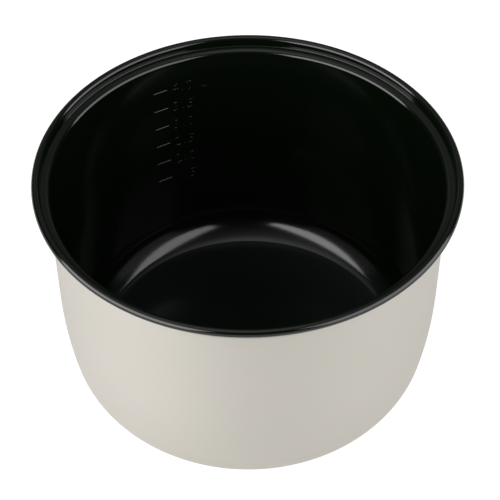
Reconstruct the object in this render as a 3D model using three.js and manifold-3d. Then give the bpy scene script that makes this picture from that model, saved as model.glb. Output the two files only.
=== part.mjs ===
// Inner cooking bowl of a multicooker: one deep-drawn aluminium pan, coated black inside and pale outside.
// Millimetres, +Z up. The origin is the middle of the base, on the plane that the bowl stands on.

import * as THREE from "three";
import { mergeVertices, toCreasedNormals } from "three/addons/utils/BufferGeometryUtils.js";
import Module from "manifold-3d";

// Pan: heights, base and side wall. Radii of its bends are those of the metal's outside.
const bowlHeight = 145; // table to the top of the rolled rim, coating included
const sheetThickness = 1.3; // side wall, flange and rim
const baseThickness = 2.3; // the floor stays thicker than the wall when the pan is drawn
const contactRadius = 81.6; // outer edge of the flat ring that the bowl stands on
const contactWidth = 7; // width of that ring
const domeRise = 1.4; // the floor arches up in the middle to suit a crowned hotplate
const heelRadius = 19.1; // tight bend between base and side
const haunchRadius = 33.9; // wider bend above it
const bellyRadius = 265; // long, nearly straight bend under the straight wall
const heelLean = 90; // degrees from vertical where the heel meets the base
const haunchLean = 38.3; // degrees where the haunch meets the heel
const bellyLean = 10.4; // degrees where the belly meets the haunch
const wallLean = 0.87; // degrees of draft on the straight wall

// Rim: from the wall outwards a lip, a flange, an upstand and a curl that is rolled outwards and down.
const underFlangeRadius = 0.8; // hollow bend under the flange
const flangeWidth = 2.8; // straight part of the flange
const flangeRise = 8; // degrees that the flange climbs outwards
const upstandFillet = 0.6; // hollow bend between flange and upstand
const upstandHeight = 1.4; // straight part of the upstand
const curlGap = 0.9; // radius of the hollow inside the curl

// Coatings
const liningThickness = 0.08; // black non-stick layers on the food side and around the curl
const lacquerThickness = 0.05; // pale metallic lacquer outside
const lacquerLean = 78; // degrees of lean on the heel where the lacquer gives way to bare metal

// Level scale: short raised ticks in half-litre steps
const levelCount = 6;
const highestLevelDrop = 25.9; // from the top of the rim down to the highest tick
const levelPitch = 13.8; // from one tick to the next
const scaleTurn = 28.5; // degrees from the back of the bowl towards -X
const tickLength = 9;
const tickWidth = 0.9;
const tickRelief = 0.35; // how far a tick stands proud of the lining

// Facets
const sides = 48; // around the bowl
const bendSteps = { dome: 2, heel: 3, haunch: 2, belly: 3, lip: 3, fillet: 2, curl: 6 };

const degree = Math.PI / 180;
const quarterTurn = 90;
const halfTurn = 180;
const shadingCrease = 30 * degree; // facets that meet at more than this keep a crisp edge
const repeatShare = 0.001; // points closer than this share of the sheet's thickness are one point

const wasm = await Module();
wasm.setup();

// The section is drawn in a plane with X as the radius and Y as the height.
function point(radius, height) {
  return new THREE.Vector2(radius, height);
}

function direction(degrees) {
  return point(Math.cos(degrees * degree), Math.sin(degrees * degree));
}

// Direction out of the metal on the food side, where the side leans in by some degrees towards the base.
function foodNormal(lean) {
  return direction(halfTurn - lean);
}

// A bend turns the food-side normal about its centre. Its radius is that of the food side, and counts as
// positive where the metal is on the centre's side of the surface, and negative where the food is.
function bendPoints({ centre, radius, from, to, steps }, depth) {
  const points = [];
  for (let step = 0; step <= steps; step += 1) {
    const normal = direction(THREE.MathUtils.lerp(from, to, step / steps));
    points.push(centre.clone().addScaledVector(normal, radius - depth));
  }
  return points;
}

// Bends of the side, from the base up. Neighbours share the normal where they meet.
const heelCentre = point(contactRadius, heelRadius);
const haunchCentre = heelCentre.clone().addScaledVector(foodNormal(haunchLean), haunchRadius - heelRadius);
const bellyCentre = haunchCentre.clone().addScaledVector(foodNormal(bellyLean), bellyRadius - haunchRadius);

function sideBend(centre, outsideRadius, lowerLean, upperLean, steps) {
  const radius = sheetThickness - outsideRadius;
  return { centre, radius, from: halfTurn - lowerLean, to: halfTurn - upperLean, steps };
}

// Inside, the heel stops at a crease where it meets the thicker floor.
const creaseLean = Math.asin((heelRadius - baseThickness) / (heelRadius - sheetThickness)) / degree;
const insideHeel = sideBend(heelCentre, heelRadius, creaseLean, haunchLean, bendSteps.heel);
const bareHeel = sideBend(heelCentre, heelRadius, heelLean, lacquerLean, 1);
const lacqueredHeel = sideBend(heelCentre, heelRadius, lacquerLean, haunchLean, bendSteps.heel);
const haunch = sideBend(haunchCentre, haunchRadius, haunchLean, bellyLean, bendSteps.haunch);
const belly = sideBend(bellyCentre, bellyRadius, bellyLean, wallLean, bendSteps.belly);

// Bends of the rim, from the top down, first with the fillet's centre on the axis.
const curlRadius = curlGap + sheetThickness;
const lipRadius = underFlangeRadius + sheetThickness;
const flangeNormal = direction(quarterTurn + flangeRise);
const curlCentre = point(upstandFillet + curlRadius, bowlHeight - liningThickness - curlRadius);
const filletCentre = point(0, curlCentre.y - upstandHeight);
const lipCentre = filletCentre.clone();
lipCentre.addScaledVector(flangeNormal, -(upstandFillet + lipRadius));
lipCentre.addScaledVector(direction(flangeRise), -flangeWidth);

// Then the rim slides outwards until its lip meets the line of the straight wall.
const wallFoot = bellyCentre.clone().addScaledVector(foodNormal(wallLean), sheetThickness - bellyRadius);
const wallTop = lipCentre.clone().addScaledVector(foodNormal(wallLean), lipRadius);
const wallDraft = (wallTop.y - wallFoot.y) * Math.tan(wallLean * degree);
const rimSlide = wallFoot.x + wallDraft - wallTop.x;
for (const centre of [lipCentre, filletCentre, curlCentre]) {
  centre.x += rimSlide;
}

const lip = {
  centre: lipCentre,
  radius: lipRadius,
  from: halfTurn - wallLean,
  to: quarterTurn + flangeRise,
  steps: bendSteps.lip,
};
const fillet = {
  centre: filletCentre,
  radius: -upstandFillet,
  from: quarterTurn + flangeRise,
  to: halfTurn,
  steps: bendSteps.fillet,
};
const curl = {
  centre: curlCentre,
  radius: curlRadius,
  from: halfTurn,
  to: -quarterTurn,
  steps: bendSteps.curl,
};

// A shallow dome from the axis out to its edge, the edge itself left out.
function domePoints(edge) {
  const points = [];
  for (let step = 0; step < bendSteps.dome; step += 1) {
    const share = step / bendSteps.dome;
    points.push(point(edge.x * share, edge.y + domeRise * (1 - share * share)));
  }
  return points;
}

// The metal's section in four stretches, anticlockwise: the outside from the axis under the base up to the
// cut edge of the curl, and then the food side from that edge back to the axis.
function bareBase() {
  const ringInside = point(contactRadius - contactWidth, 0);
  return [...domePoints(ringInside), ringInside, ...bendPoints(bareHeel, sheetThickness)];
}

function lacqueredFace() {
  const bends = [lacqueredHeel, haunch, belly, lip, fillet];
  return dropRepeats(bends.flatMap((bend) => bendPoints(bend, sheetThickness)));
}

function insideOfCurl() {
  return bendPoints(curl, sheetThickness);
}

function foodFace() {
  const side = [insideHeel, haunch, belly, lip, fillet, curl].flatMap((bend) => bendPoints(bend, 0));
  return dropRepeats([...domePoints(side[0]), ...side]).reverse();
}

// Neighbouring bends end and start at the same point, which is kept once.
function dropRepeats(line) {
  const tolerance = sheetThickness * repeatShare;
  return line.filter((place, i) => i === 0 || place.distanceTo(line[i - 1]) > tolerance);
}

// The same line moved to the right of its run, with mitred corners. On the axis it stays on the axis.
function moveOut(line, distance) {
  const normals = line.slice(1).map((end, i) => {
    const start = line[i];
    return point(end.y - start.y, start.x - end.x).normalize();
  });
  return line.map((place, i) => {
    const known = normals[i] ?? normals[i - 1];
    const missing = place.x === 0 ? point(-known.x, known.y) : known;
    const before = normals[i - 1] ?? missing;
    const after = normals[i] ?? missing;
    const mitre = distance / (1 + before.dot(after));
    return place.clone().addScaledVector(before, mitre).addScaledVector(after, mitre);
  });
}

// Turns a section round the bowl's axis. One facet is centred on the level scale.
const facetTurn = (2 * halfTurn) / sides;

function revolve(section) {
  const closed = section[0].x === 0 ? section : [...section, section[0]];
  const start = (halfTurn + scaleTurn - facetTurn / 2) * degree;
  const geometry = new THREE.LatheGeometry(closed, sides, start);
  geometry.rotateX(quarterTurn * degree);
  return geometry;
}

function panGeometry() {
  return revolve(dropRepeats([...bareBase(), ...lacqueredFace(), ...insideOfCurl(), ...foodFace()]));
}

// A coating lies on one face of the metal and shares its facets. That face keeps the run that it has in the
// pan, so the coating's own section runs clockwise, and its triangles are turned over.
function coatingGeometry(face, thickness) {
  const geometry = revolve([...moveOut(face, thickness).reverse(), ...face]);
  const index = geometry.index.array;
  for (let i = 0; i < index.length; i += 3) {
    [index[i + 1], index[i + 2]] = [index[i + 2], index[i + 1]];
  }
  geometry.computeVertexNormals();
  return geometry;
}

// One raised tick at a height: a bar laid on the facet of the lining there, its root inside the coating.
function tickGeometry(height) {
  const face = moveOut(foodFace(), liningThickness);
  const lower = face.findIndex((place) => place.y <= height);
  const below = face[lower];
  const above = face[lower - 1];
  const place = below.clone().lerp(above, (height - below.y) / (above.y - below.y));
  const inward = point(below.y - above.y, above.x - below.x).normalize();
  const root = liningThickness / 2;
  const facetRadius = place.x * Math.cos((facetTurn * degree) / 2);
  const centre = point(facetRadius, height).addScaledVector(inward, (tickRelief - root) / 2);

  const turn = scaleTurn * degree;
  const outwards = new THREE.Vector3(-Math.sin(turn), Math.cos(turn), 0);
  const along = new THREE.Vector3(Math.cos(turn), Math.sin(turn), 0);
  const normal = outwards.clone().multiplyScalar(inward.x).setZ(inward.y);
  const up = normal.clone().cross(along);
  const placing = new THREE.Matrix4().makeBasis(along, up, normal);
  placing.setPosition(outwards.clone().multiplyScalar(centre.x).setZ(centre.y));

  const geometry = new THREE.BoxGeometry(tickLength, tickWidth, tickRelief + root);
  geometry.applyMatrix4(placing);
  return geometry;
}

// Closed solids for joining. Triangles that shrink to nothing on the axis are left out.
function toSolid(geometry) {
  const bare = geometry.clone();
  bare.deleteAttribute("normal");
  bare.deleteAttribute("uv");
  const merged = mergeVertices(bare);
  const index = merged.index.array;
  const triVerts = [];
  for (let i = 0; i < index.length; i += 3) {
    const [a, b, c] = index.slice(i, i + 3);
    if (a !== b && b !== c && c !== a) {
      triVerts.push(a, b, c);
    }
  }
  const vertProperties = new Float32Array(merged.attributes.position.array);
  const mesh = new wasm.Mesh({ numProp: 3, vertProperties, triVerts: new Uint32Array(triVerts) });
  return new wasm.Manifold(mesh);
}

function toGeometry(solid) {
  const { vertProperties, triVerts } = solid.getMesh();
  const geometry = new THREE.BufferGeometry();
  geometry.setAttribute("position", new THREE.BufferAttribute(vertProperties, 3));
  geometry.setIndex(new THREE.BufferAttribute(triVerts, 1));
  return toCreasedNormals(geometry, shadingCrease);
}

function liningGeometry() {
  const highestLevel = bowlHeight - highestLevelDrop;
  let solid = toSolid(coatingGeometry(foodFace(), liningThickness));
  for (let level = 0; level < levelCount; level += 1) {
    solid = solid.add(toSolid(tickGeometry(highestLevel - level * levelPitch)));
  }
  return toGeometry(solid);
}

const aluminium = new THREE.MeshStandardMaterial({ color: 0xc6c6c4, metalness: 1, roughness: 0.38 });
const blackNonStick = new THREE.MeshStandardMaterial({ color: 0x0b0b0b, metalness: 0, roughness: 0.32 });
const paleLacquer = new THREE.MeshStandardMaterial({ color: 0xcfccc6, metalness: 0.5, roughness: 0.42 });

function part(name, geometry, material) {
  const mesh = new THREE.Mesh(geometry, material);
  mesh.name = name;
  return mesh;
}

const bowl = new THREE.Group();
bowl.add(part("pan_shell", panGeometry(), aluminium));
bowl.add(part("nonstick_lining", liningGeometry(), blackNonStick));
bowl.add(part("outer_lacquer", coatingGeometry(lacqueredFace(), lacquerThickness), paleLacquer));

export default bowl;
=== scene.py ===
"""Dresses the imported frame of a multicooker's inner bowl: one drawn aluminium pan, black non-stick on the
food side and a pale lacquer outside. Metres, +Z up, the bowl's axis on Z and the viewer towards -Y."""

import math
from collections import namedtuple

import bmesh
import bpy
from mathutils import Matrix, Vector
from mathutils.bvhtree import BVHTree


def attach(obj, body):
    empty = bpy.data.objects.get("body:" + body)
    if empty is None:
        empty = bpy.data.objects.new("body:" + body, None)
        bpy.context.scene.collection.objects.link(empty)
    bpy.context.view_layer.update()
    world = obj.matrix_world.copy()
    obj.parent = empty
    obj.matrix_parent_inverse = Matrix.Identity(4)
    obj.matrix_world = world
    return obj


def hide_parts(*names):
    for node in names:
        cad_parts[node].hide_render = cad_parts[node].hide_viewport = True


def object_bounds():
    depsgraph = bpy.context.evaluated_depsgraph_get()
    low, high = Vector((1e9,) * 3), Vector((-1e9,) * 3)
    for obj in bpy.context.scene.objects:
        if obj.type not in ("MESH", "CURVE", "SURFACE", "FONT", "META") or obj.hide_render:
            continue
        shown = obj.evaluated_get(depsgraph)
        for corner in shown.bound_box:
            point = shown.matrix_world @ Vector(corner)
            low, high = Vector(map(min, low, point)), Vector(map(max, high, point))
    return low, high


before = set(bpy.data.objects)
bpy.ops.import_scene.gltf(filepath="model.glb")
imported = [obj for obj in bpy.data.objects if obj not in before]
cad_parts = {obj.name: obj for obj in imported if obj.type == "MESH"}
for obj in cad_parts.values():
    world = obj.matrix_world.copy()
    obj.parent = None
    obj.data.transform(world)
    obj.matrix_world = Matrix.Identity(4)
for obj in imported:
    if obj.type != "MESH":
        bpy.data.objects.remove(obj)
cad_low, cad_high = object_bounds()

# The pan: a disc of aluminium deep drawn in one pull, its floor left thicker than its wall, its mouth pressed
# into a narrow flange and a short upstand and then rolled outwards and down. It is coated on both sides, so
# bare metal shows only under the base, low on the heel and inside the roll.
MM = 0.001
SHEET = 1.3 * MM
BASE = 2.3 * MM
COAT = 0.08 * MM
CONTACT_RADIUS = 81.3 * MM
CONTACT_WIDTH = 7 * MM
DOME_RISE = 1.4 * MM
HEEL_RADIUS = 19.1 * MM
HAUNCH_RADIUS = 33.9 * MM
BELLY_RADIUS = 265 * MM
FOOD_CORNER_RADIUS = 12.1 * MM
FOOD_SLOPE_RADIUS = 36.9 * MM
FOOD_HAUNCH_RADIUS = 27.3 * MM
UNDER_FLANGE_RADIUS = 1.2 * MM
FLANGE_WIDTH = 2.45 * MM
UPSTAND_FILLET = 0.6 * MM
UPSTAND_HEIGHT = 2.8 * MM
ROLL_HOLLOW = 0.9 * MM
ROLL_RADIUS = ROLL_HOLLOW + SHEET
LIP_RADIUS = UNDER_FLANGE_RADIUS + SHEET
RIM_TOP = cad_high.z
RIM_RADIUS = cad_high.x

# Leans are degrees from upright, and the rise is degrees from level.
BASE_LEAN = 90
HAUNCH_LEAN = 38.3
BELLY_LEAN = 10.4
WALL_LEAN = 0.87
FOOD_SLOPE_LEAN = 53.5
FOOD_HAUNCH_LEAN = 42
FLANGE_RISE = 8
UPWARDS = 90
INWARDS = 180
DOWNWARDS = -90

# How many straight steps each bend is drawn in.
STEPS = {
    "dome": 24,
    "heel": 28,
    "lacquered heel": 20,
    "haunch": 14,
    "belly": 14,
    "food corner": 10,
    "food slope": 8,
    "food haunch": 18,
    "lip": 8,
    "fillet": 6,
    "roll": 24,
}
SIDES = 256
MERGE = 0.001 * MM
CRISP_EDGE = math.radians(32)

METAL_BRIGHT = (0.80, 0.80, 0.79, 1)
METAL_DULL = (0.68, 0.68, 0.68, 1)
METAL_BLOTCH = 12 * MM
METAL_ROUGHNESS = 0.24
TURNED_ROUGHNESS = 0.22
TURNED_LINE = 0.45 * MM
TURNED_DETAIL = 3
TURNED_DEPTH = 0.012 * MM


def towards(degrees):
    """Direction in the plane of the section, from +X towards +Z."""
    return Vector((math.cos(math.radians(degrees)), 0, math.sin(math.radians(degrees))))


def food_angle(lean):
    """Angle of the normal on the food side, where the side leans by some degrees from upright."""
    return INWARDS - lean


def food_normal(lean):
    """Out of the metal on the food side."""
    return towards(food_angle(lean))


# A bend of the section turns the food-side normal from one angle to another about its centre. Its radius is
# that of the pan's outside, and is negative where the centre lies on the food side.
Bend = namedtuple("Bend", "centre radius first last steps")


def side_bend(part, centre, radius, low_lean, high_lean):
    """A bend of the side, hollow towards the food, from a lower lean up to a higher one."""
    return Bend(centre, -radius, food_angle(low_lean), food_angle(high_lean), STEPS[part])


heel_centre = Vector((CONTACT_RADIUS, 0, HEEL_RADIUS))
haunch_centre = heel_centre + food_normal(HAUNCH_LEAN) * (HAUNCH_RADIUS - HEEL_RADIUS)
belly_centre = haunch_centre + food_normal(BELLY_LEAN) * (BELLY_RADIUS - HAUNCH_RADIUS)
heel = side_bend("heel", heel_centre, HEEL_RADIUS, BASE_LEAN, HAUNCH_LEAN)
haunch = side_bend("haunch", haunch_centre, HAUNCH_RADIUS, HAUNCH_LEAN, BELLY_LEAN)
belly = side_bend("belly", belly_centre, BELLY_RADIUS, BELLY_LEAN, WALL_LEAN)

# Low down the food side has bends of its own, because the metal is thicker there than the wall.
food_haunch_centre = belly_centre + food_normal(BELLY_LEAN) * (FOOD_HAUNCH_RADIUS + SHEET - BELLY_RADIUS)
slope_centre = food_haunch_centre + food_normal(FOOD_HAUNCH_LEAN) * (FOOD_SLOPE_RADIUS - FOOD_HAUNCH_RADIUS)
corner_centre = slope_centre + food_normal(FOOD_SLOPE_LEAN) * (FOOD_CORNER_RADIUS - FOOD_SLOPE_RADIUS)
food_haunch = side_bend(
    "food haunch", food_haunch_centre, FOOD_HAUNCH_RADIUS + SHEET, FOOD_HAUNCH_LEAN, BELLY_LEAN
)
food_slope = side_bend(
    "food slope", slope_centre, FOOD_SLOPE_RADIUS + SHEET, FOOD_SLOPE_LEAN, FOOD_HAUNCH_LEAN
)

# The rim is laid out from its fillet, and then moved out to the CAD's rim radius.
roll_centre = Vector((UPSTAND_FILLET + ROLL_RADIUS, 0, RIM_TOP - COAT - ROLL_RADIUS))
fillet_centre = Vector((0, 0, roll_centre.z - UPSTAND_HEIGHT))
lip_centre = fillet_centre - towards(UPWARDS + FLANGE_RISE) * (UPSTAND_FILLET + LIP_RADIUS)
lip_centre -= towards(FLANGE_RISE) * FLANGE_WIDTH
rim_shift = Vector((RIM_RADIUS - COAT - ROLL_RADIUS - roll_centre.x, 0, 0))
flange_angle = UPWARDS + FLANGE_RISE
lip = Bend(lip_centre + rim_shift, UNDER_FLANGE_RADIUS, food_angle(WALL_LEAN), flange_angle, STEPS["lip"])
fillet = Bend(fillet_centre + rim_shift, -UPSTAND_FILLET - SHEET, flange_angle, INWARDS, STEPS["fillet"])
roll = Bend(roll_centre + rim_shift, ROLL_HOLLOW, INWARDS, DOWNWARDS, STEPS["roll"])
rim = [lip, fillet, roll]


def dome(edge, depth):
    """A shallow dome from the axis out to its edge, drawn through that edge at a depth."""
    radius = (edge.x ** 2 + DOME_RISE ** 2) / (2 * DOME_RISE)
    centre = Vector((0, 0, edge.z + DOME_RISE - radius))
    turn = math.degrees(math.asin(edge.x / radius))
    return Bend(centre, radius - depth, UPWARDS, UPWARDS - turn, STEPS["dome"])


def food_side(depth):
    """Floor, side and rim as the food sees them, at a depth from the outside of the sheet."""
    corner_radius = FOOD_CORNER_RADIUS + SHEET - depth
    floor_edge = BASE + depth - SHEET
    lean = math.degrees(math.asin((corner_centre.z - floor_edge) / corner_radius))
    crease = corner_centre - food_normal(lean) * corner_radius
    corner = side_bend("food corner", corner_centre, FOOD_CORNER_RADIUS + SHEET, lean, FOOD_SLOPE_LEAN)
    return [dome(crease, depth), corner, food_slope, food_haunch, belly, *rim]


def backwards(bends):
    """The same bends drawn from their far end."""
    return [bend._replace(first=bend.last, last=bend.first) for bend in reversed(bends)]


def line_to(bm, pen, place):
    """Draws a straight from the pen to a place, unless it is there already."""
    if pen is None:
        return bm.verts.new(place)
    if (pen.co - place).length < MERGE:
        return pen
    made = bmesh.ops.extrude_vert_indiv(bm, verts=[pen])["verts"][0]
    made.co = place
    return made


def draw(bm, bends, depth, pen=None):
    """Draws bends at a depth: a straight to the start of each, then the pen spun about its centre."""
    for bend in bends:
        pen = line_to(bm, pen, bend.centre + towards(bend.first) * (bend.radius + depth))
        turned = bmesh.ops.spin(
            bm,
            geom=[pen],
            cent=bend.centre,
            axis=(0, -1, 0),
            angle=math.radians(bend.last - bend.first),
            steps=bend.steps,
        )
        pen = next(part for part in turned["geom_last"] if isinstance(part, bmesh.types.BMVert))
    return pen


def turn_on_axis(bm):
    """Spins the drawn section once round the bowl's axis, with its faces pointing outwards."""
    bmesh.ops.spin(
        bm,
        geom=bm.verts[:] + bm.edges[:],
        cent=(0, 0, 0),
        axis=(0, 0, 1),
        angle=math.tau,
        steps=SIDES,
        use_merge=True,
    )
    bmesh.ops.remove_doubles(bm, verts=bm.verts[:], dist=MERGE)
    bmesh.ops.recalc_face_normals(bm, faces=bm.faces[:])


def add_object(name, bm, finish):
    """Makes an object of a mesh and its finish, with its place in its mesh."""
    mesh = bpy.data.meshes.new(name)
    bm.to_mesh(mesh)
    bm.free()
    mesh.materials.append(finish)
    made = bpy.data.objects.new(name, mesh)
    bpy.context.scene.collection.objects.link(made)
    return made


def place_piece(name, bm, finish, replaced=()):
    """Makes a piece of the bowl, smooth but for its crisp edges, and sets it on the frame."""
    piece = add_object(name, bm, finish)
    piece.data.shade_smooth()
    piece.data.set_sharp_from_angle(angle=CRISP_EDGE)
    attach(piece, "root")
    if replaced:
        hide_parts(*replaced)


class Wire:
    """A socket in a finish. Sums, differences and products of wires and numbers add Math nodes."""

    def __init__(self, tree, socket=None):
        self.tree = tree
        self.socket = socket

    def node(self, kind, settings, sockets, output=0):
        """Adds a node, sets it up, feeds its sockets with values or wires and returns one output."""
        made = self.tree.nodes.new("ShaderNode" + kind)
        for name, value in settings.items():
            setattr(made, name, value)
        for name, value in sockets.items():
            if isinstance(value, Wire):
                self.tree.links.new(value.socket, made.inputs[name])
            else:
                made.inputs[name].default_value = value
        return Wire(self.tree, made.outputs[output] if made.outputs else None)

    def calculate(self, operation, first, second):
        return self.node("Math", {"operation": operation}, {0: first, 1: second})

    def __add__(self, other):
        return self.calculate("ADD", self, other)

    __radd__ = __add__

    def __sub__(self, other):
        return self.calculate("SUBTRACT", self, other)

    def __rsub__(self, other):
        return self.calculate("SUBTRACT", other, self)

    def __mul__(self, other):
        return self.calculate("MULTIPLY", self, other)

    __rmul__ = __mul__


def start_finish(name):
    """A new finish, and a wire that carries the place on the piece in metres."""
    finish = bpy.data.materials.new(name)
    finish.use_nodes = True
    finish.node_tree.nodes.clear()
    return finish, Wire(finish.node_tree).node("TexCoord", {}, {}, "Object")


def end_finish(place, shader):
    """Ends a finish in one shader, given the values and wires of its sockets."""
    place.node("OutputMaterial", {}, {"Surface": place.node("BsdfPrincipled", {}, shader)})


def noise(place, size, detail=2):
    """Soft random blotches of about a size, from 0 to 1."""
    return place.node("TexNoise", {}, {"Vector": place, "Scale": 1 / size, "Detail": detail}, "Fac")


def blend_colours(share, low, high):
    """One colour turning into another as the share goes from 0 to 1. A Mix node's sockets go by number: 6 and
    7 are its two colours, and 2 is their blend."""
    return share.node("Mix", {"data_type": "RGBA"}, {0: share, 6: low, 7: high}, 2)


def length_of(place):
    return place.node("VectorMath", {"operation": "LENGTH"}, {0: place}, "Value")


def relief(height, depth):
    """Fine relief of a depth for a shader's Normal."""
    return height.node("Bump", {}, {"Height": height, "Distance": depth, "Strength": 1.0})


def bare_aluminium():
    finish, place = start_finish("bare turned aluminium")
    radius = length_of(place.node("VectorMath", {"operation": "MULTIPLY"}, {0: place, 1: (1, 1, 0)}))
    lines = {"W": radius, "Scale": 1 / TURNED_LINE, "Detail": TURNED_DETAIL}
    turned = radius.node("TexNoise", {"noise_dimensions": "1D"}, lines, "Fac")
    shader = {
        "Base Color": blend_colours(noise(place, METAL_BLOTCH), METAL_DULL, METAL_BRIGHT),
        "Metallic": 1.0,
        "Roughness": METAL_ROUGHNESS + TURNED_ROUGHNESS * turned,
        "Normal": relief(turned, TURNED_DEPTH),
    }
    end_finish(place, shader)
    return finish


bm = bmesh.new()
underside = dome(Vector((CONTACT_RADIUS - CONTACT_WIDTH, 0, 0)), 0)
pen = draw(bm, [underside, heel, haunch, belly, *rim], 0)
draw(bm, backwards(food_side(SHEET)), SHEET, pen)
turn_on_axis(bm)
place_piece("drawn_pan", bm, bare_aluminium(), ["pan_shell"])

# The lacquer outside: a heat-proof metallic paint in a pale champagne, sprayed on the turning pan from under
# the flange down to the heel and baked. It stops in a ring just short of the base. Its colour is darkened
# softly under the flange, a painted shade.
LACQUER = 0.05 * MM
LACQUER_LEAN = 78
LACQUER_GREY = (0.640, 0.618, 0.556, 1)
LACQUER_PINK = (0.665, 0.632, 0.583, 1)
# Painted shade: the darker colour the lacquer turns to under the flange.
PAINTED_SHADE = (0.320, 0.305, 0.275, 1)
PAINTED_SHADE_HEIGHTS = (130.8 * MM, 134.5 * MM)
TINT_SIZE = 55 * MM
TINT_SHARE = 0.9
FLAKE_SIZE = 0.35 * MM
FLAKE_SHARE = 0.2
NOISE_MIDDLE = 0.5
FLAKE_METAL = 0.8
LACQUER_ROUGHNESS = 0.49
FLAKE_ROUGHNESS = 0.08
FLAKE_STRETCH = 0.3
QUARTER_TURN = 0.25
SPRAY_SIZE = 1.3 * MM
SPRAY_DEPTH = 0.012 * MM


def height_of(place):
    return place.node("SeparateXYZ", {}, {0: place}, "Z")


def share_between(value, low, high):
    """How far a value is from one level to another, from 0 to 1."""
    return value.node("MapRange", {}, {"Value": value, "From Min": low, "From Max": high})


def pale_lacquer():
    finish, place = start_finish("pale champagne lacquer")
    flakes = noise(place, FLAKE_SIZE, detail=1)
    tint = TINT_SHARE * noise(place, TINT_SIZE, detail=1) + FLAKE_SHARE * (flakes - NOISE_MIDDLE)
    # Painted shade: a soft ring darker under the flange, fading out below it.
    painted_shade_share = share_between(height_of(place), *PAINTED_SHADE_HEIGHTS)
    shader = {
        "Base Color": blend_colours(painted_shade_share, blend_colours(tint, LACQUER_GREY, LACQUER_PINK), PAINTED_SHADE),
        "Metallic": FLAKE_METAL,
        "Roughness": LACQUER_ROUGHNESS + FLAKE_ROUGHNESS * flakes,
        "Anisotropic": FLAKE_STRETCH,
        "Anisotropic Rotation": QUARTER_TURN,
        "Normal": relief(noise(place, SPRAY_SIZE), SPRAY_DEPTH),
    }
    end_finish(place, shader)
    return finish


bm = bmesh.new()
lacquered_heel = side_bend("lacquered heel", heel_centre, HEEL_RADIUS, LACQUER_LEAN, HAUNCH_LEAN)
lacquered = [lacquered_heel, haunch, belly, lip, fillet]
pen = draw(bm, lacquered, -LACQUER)
start = bm.verts[:][0]
pen = draw(bm, backwards(lacquered), 0, pen)
bm.edges.new((pen, start))
turn_on_axis(bm)
place_piece("pale_lacquer", bm, pale_lacquer(), ["outer_lacquer"])

# The non-stick: black fluoropolymer sprayed over the food side, the flange and the whole roll down to its cut
# edge, and baked to a satin. It softens the crease round the floor a little and dries slightly duller low on
# the side. On the floor it is painted a little lighter, a painted sheen.
CREASE_SOFTNESS = 0.5 * MM
CREASE_STEPS = 4
BLACK = (0.0014, 0.0032, 0.0014, 1)
BLACK_GREY = (0.0022, 0.0040, 0.0021, 1)
# Painted sheen: the lighter colour of the non-stick on the floor.
PAINTED_FLOOR_SHEEN = (0.0090, 0.0130, 0.0105, 1)
PAINTED_SHEEN_HEIGHTS = (12 * MM, 4 * MM)
DULLER_HEIGHTS = (60 * MM, 25 * MM)
SATIN_ROUGHNESS = 0.07
CLOUD_SIZE = 26 * MM
CLOUD_ROUGHNESS = 0.04
SPECK_SIZE = 0.5 * MM
SPECK_ROUGHNESS = 0.03
DULLER_ROUGHNESS = 0.01
DULLER_SPECKS = 0.03
GLOSS_LEVEL = 0.6
PEEL_SIZE = 1.6 * MM
PEEL_DEPTH = 0.006 * MM


def black_nonstick():
    finish, place = start_finish("black satin non-stick")
    clouds = noise(place, CLOUD_SIZE)
    specks = noise(place, SPECK_SIZE)
    height = height_of(place)
    # Painted sheen: lighter towards the floor, from 12 mm down to 4 mm.
    painted_sheen_share = share_between(height, *PAINTED_SHEEN_HEIGHTS)
    duller = share_between(height, *DULLER_HEIGHTS)
    satin = SATIN_ROUGHNESS + CLOUD_ROUGHNESS * clouds + SPECK_ROUGHNESS * specks
    shader = {
        "Base Color": blend_colours(painted_sheen_share, blend_colours(specks, BLACK, BLACK_GREY), PAINTED_FLOOR_SHEEN),
        "Roughness": satin + (DULLER_ROUGHNESS + DULLER_SPECKS * specks) * duller,
        "Specular IOR Level": GLOSS_LEVEL,
        "Normal": relief(noise(place, PEEL_SIZE), PEEL_DEPTH),
    }
    end_finish(place, shader)
    return finish


nonstick = black_nonstick()
bm = bmesh.new()
floor, *upwards = food_side(SHEET + COAT)
crease = draw(bm, [floor], SHEET + COAT)
pen = draw(bm, upwards, SHEET + COAT, crease)
draw(bm, backwards(food_side(SHEET)), SHEET, pen)
bmesh.ops.bevel(
    bm,
    geom=[crease],
    offset=CREASE_SOFTNESS,
    offset_type="OFFSET",
    affect="VERTICES",
    segments=CREASE_STEPS,
    profile=0.5,
    material=-1,
)
turn_on_axis(bm)
food_face = BVHTree.FromBMesh(bm)
place_piece("nonstick_lining_coat", bm, nonstick, ["nonstick_lining"])

# The level scale: ticks and numbers for every half litre, pressed into the side from outside and coated over
# with the rest, so that they are black on black and only their sloping upper edges catch the light.
SCALE_TURN = math.radians(28.5)
SIDE_RADIUS = 106.5 * MM
HIGHEST_LEVEL = 119.1 * MM
LEVEL_PITCH = 13.8 * MM
LEVELS = ["4.0", "3.5", "3.0", "2.5", "2.0", "1.5"]
TICK_LENGTH = 8.9 * MM
TICK_WIDTH = 1.3 * MM
TICK_ROOT = 0.3 * MM
TICK_CUTS = 8
TICK_SLOPES = (37, 27, 16, 6)
TICK_STEP = 0.14 * MM
FACES_UP = 0.5
CHARACTER_SIZE = 9.7 * MM
CHARACTER_ARCS = (9.4 * MM, 14.0 * MM, 18.5 * MM)
DIGIT_HEIGHT = 7.0 * MM
UNIT_ARC = 26.3 * MM
STROKE_ROUNDING = 0.36 * MM
STROKE_STEPS = 3
STROKE_HEIGHT = 0.26 * MM
STROKE_SUNK = 0.12 * MM
CURVE_STEPS = 4


def lay_on_side(bm, height, arc):
    """Lays flat relief on the side: X runs along it to the right, Y up it and Z out of it."""
    for vert in bm.verts:
        turn = SCALE_TURN - (arc + vert.co.x) / SIDE_RADIUS
        outwards = Vector((-math.sin(turn), math.cos(turn), 0))
        hit = food_face.ray_cast(Vector((0, 0, height + vert.co.y)), outwards)[0]
        vert.co = hit - outwards * vert.co.z


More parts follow.
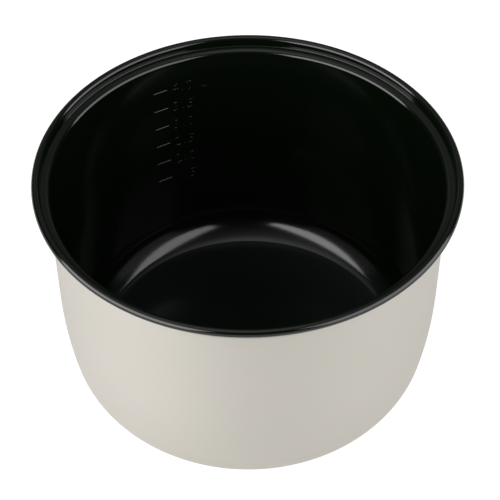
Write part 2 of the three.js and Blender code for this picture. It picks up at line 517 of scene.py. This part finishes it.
def tick():
    """One bar whose top is drawn in and raised in ever gentler steps, so that it rounds over. It starts as a
    cube of size 1, sunk by half of it until its top is level with the side."""
    bm = bmesh.new()
    bmesh.ops.create_cube(bm, size=1)
    bmesh.ops.translate(bm, verts=bm.verts[:], vec=(0, 0, -0.5))
    bmesh.ops.scale(bm, verts=bm.verts[:], vec=(TICK_LENGTH, TICK_WIDTH, TICK_ROOT))
    lengthways = [edge for edge in bm.edges if abs(edge.verts[0].co.x - edge.verts[1].co.x) > MERGE]
    bmesh.ops.subdivide_edges(bm, edges=lengthways, cuts=TICK_CUTS, use_grid_fill=True)
    top = [face for face in bm.faces if face.normal.z > FACES_UP]
    for slope in TICK_SLOPES:
        rise = TICK_STEP * math.tan(math.radians(slope))
        bmesh.ops.inset_region(bm, faces=top, thickness=TICK_STEP, depth=rise, use_even_offset=True)
    return bm


def character(sign):
    """One raised character with rounded strokes, sunk until only their gentle tops stand proud."""
    text = bpy.data.curves.new("level character", "FONT")
    text.body = sign
    text.size = CHARACTER_SIZE
    text.align_x = "CENTER"
    text.offset = -STROKE_ROUNDING
    text.bevel_depth = STROKE_ROUNDING
    text.bevel_resolution = STROKE_STEPS
    text.resolution_u = CURVE_STEPS
    holder = bpy.data.objects.new("level character", text)
    bpy.context.scene.collection.objects.link(holder)
    bpy.context.view_layer.update()
    flat = bpy.data.meshes.new_from_object(holder.evaluated_get(bpy.context.evaluated_depsgraph_get()))
    bpy.data.objects.remove(holder)
    bm = bmesh.new()
    bm.from_mesh(flat)
    bpy.data.meshes.remove(flat)
    bmesh.ops.remove_doubles(bm, verts=bm.verts[:], dist=MERGE)
    flattened = (1, 1, STROKE_HEIGHT / STROKE_ROUNDING)
    bmesh.ops.scale(bm, verts=bm.verts[:], vec=flattened)
    bmesh.ops.translate(bm, verts=bm.verts[:], vec=(0, -DIGIT_HEIGHT / 2, -STROKE_SUNK))
    return bm


def add_relief(bm, raised, height, arc):
    """Lays relief on the side at a height and an arc, and moves it into a mesh."""
    lay_on_side(raised, height, arc)
    made = bpy.data.meshes.new("relief")
    raised.to_mesh(made)
    raised.free()
    bm.from_mesh(made)
    bpy.data.meshes.remove(made)


ticks = bmesh.new()
numbers = bmesh.new()
for row, number in enumerate(LEVELS):
    height = HIGHEST_LEVEL - row * LEVEL_PITCH
    add_relief(ticks, tick(), height, 0)
    for sign, arc in zip(number, CHARACTER_ARCS):
        add_relief(numbers, character(sign), height, arc)
add_relief(numbers, character("L"), HIGHEST_LEVEL, UNIT_ARC)
place_piece("level_ticks", ticks, nonstick)
place_piece("level_numbers", numbers, nonstick)

# The floor: a plain white sweep far larger than the bowl. Its glow, which reflections show at less than half
# strength, makes the ground white for the camera, and the bowl's shadow still falls on it.
FLOOR_RADIUS = 6.0
FLOOR_SIDES = 96
FLOOR_COLOUR = (0.4, 0.4, 0.4, 1)
NEAR_GLOW = (0.8, 0.8, 0.8, 1)
FAR_GLOW = (1, 1, 1, 1)
NEAR_AND_FAR = (0.35, 1.1)
REFLECTED_GLOW = 0.45


def white_ground():
    finish, place = start_finish("white ground")
    camera_ray = place.node("LightPath", {}, {}, "Is Camera Ray")
    rays = camera_ray.socket.node.outputs
    seen = camera_ray
    for ray in ("Is Glossy Ray", "Is Transmission Ray"):
        seen = seen.calculate("MAXIMUM", seen, REFLECTED_GLOW * Wire(place.tree, rays[ray]))
    far_away = share_between(length_of(place), *NEAR_AND_FAR)
    matt = place.node("BsdfDiffuse", {}, {"Color": FLOOR_COLOUR})
    glow = place.node("Emission", {}, {"Color": blend_colours(far_away, NEAR_GLOW, FAR_GLOW)})
    glowing = place.node("AddShader", {}, {0: matt, 1: glow})
    ground_shader = place.node("MixShader", {}, {0: seen, 1: matt, 2: glowing})
    place.node("OutputMaterial", {}, {"Surface": ground_shader})
    return finish


bm = bmesh.new()
bmesh.ops.create_circle(bm, cap_ends=True, segments=FLOOR_SIDES, radius=FLOOR_RADIUS)
add_object("ground", bm, white_ground())

# The lights: a strong soft box on the left of the camera and a weaker one on the right, in a dark room with a
# soft glow at its ceiling and two faint ones behind the bowl. Only the camera sees the air of the room white.
ROOM = 0.016
ROOM_GLOWS = {
    "ceiling": {"azimuth": -110, "elevation": 83, "reach": 65, "glow": 0.7},
    "behind on the left": {"azimuth": -155, "elevation": 32, "reach": 34, "glow": 0.22},
    "behind on the right": {"azimuth": 155, "elevation": 32, "reach": 34, "glow": 0.22},
}
SOFT_BOXES = {
    "left soft box": {"azimuth": -58, "elevation": 23, "wide": 68, "high": 52, "glow": 3.8},
    "right soft box": {"azimuth": 69, "elevation": 25, "wide": 72, "high": 54, "glow": 2.42},
}
SOFT_BOX_DISTANCE = 1.7
WHITE = (1, 1, 1, 1)


def turn_to(azimuth, elevation):
    """Turns +Z, the back of a lamp or camera that faces the bowl, to a direction seen from the bowl. The
    camera is at azimuth 0."""
    tip = Matrix.Rotation(math.radians(UPWARDS - elevation), 4, "X")
    return Matrix.Rotation(math.radians(azimuth), 4, "Z") @ tip


def soft_box(name, azimuth, elevation, wide, high, glow):
    """A flat lamp that fills some degrees of the view from the bowl. Its energy is its glow times pi times
    its area, so that the glow is the brightness of its face."""
    lamp = bpy.data.lights.new(name, "AREA")
    lamp.shape = "RECTANGLE"
    lamp.size = 2 * SOFT_BOX_DISTANCE * math.tan(math.radians(wide / 2))
    lamp.size_y = 2 * SOFT_BOX_DISTANCE * math.tan(math.radians(high / 2))
    lamp.energy = glow * math.pi * lamp.size * lamp.size_y
    holder = bpy.data.objects.new(name, lamp)
    holder.matrix_world = turn_to(azimuth, elevation) @ Matrix.Translation((0, 0, SOFT_BOX_DISTANCE))
    holder.visible_camera = False
    bpy.context.scene.collection.objects.link(holder)


def room_glow(outwards, azimuth, elevation, reach, glow):
    """Soft light of the room that fades to nothing at some degrees from its middle."""
    middle = turn_to(azimuth, elevation) @ Vector((0, 0, 1))
    nearness = outwards.node("VectorMath", {"operation": "DOT_PRODUCT"}, {0: outwards, 1: middle}, "Value")
    share = share_between(nearness, math.cos(math.radians(reach)), 1.0)
    square = share * share
    return glow * (square * square)


for name, setting in SOFT_BOXES.items():
    soft_box(name, **setting)

room = bpy.data.worlds.new("dim room")
room.use_nodes = True
room.node_tree.nodes.clear()
outwards = Wire(room.node_tree).node("TexCoord", {}, {}, "Generated")
brightness = ROOM
for setting in ROOM_GLOWS.values():
    brightness = brightness + room_glow(outwards, **setting)
seen = outwards.node("LightPath", {}, {}, "Is Camera Ray")
sky = outwards.node("Background", {}, {"Color": WHITE, "Strength": brightness * (1 - seen) + seen})
sky.node("OutputWorld", {}, {"Surface": sky})
bpy.context.scene.world = room

# The camera: a long lens from well above the front of the bowl, aimed just above the middle of its height and
# turned a quarter of a degree, as the photograph is.
LENS = 133.57
CAMERA_DISTANCE = 1.0469
CAMERA_ELEVATION = 45.99
CAMERA_ROLL = -0.275
AIM = Vector((0.00111, 0, 0.08380))

camera = bpy.data.cameras.new("camera")
camera.lens = LENS
viewer = bpy.data.objects.new("camera", camera)
back_off = turn_to(0, CAMERA_ELEVATION) @ Matrix.Translation((0, 0, CAMERA_DISTANCE))
tilt = Matrix.Rotation(math.radians(CAMERA_ROLL), 4, "Z")
viewer.matrix_world = Matrix.Translation(AIM) @ back_off @ tilt
bpy.context.scene.collection.objects.link(viewer)
bpy.context.scene.camera = viewer
bpy.context.scene.view_settings.view_transform = "Standard"
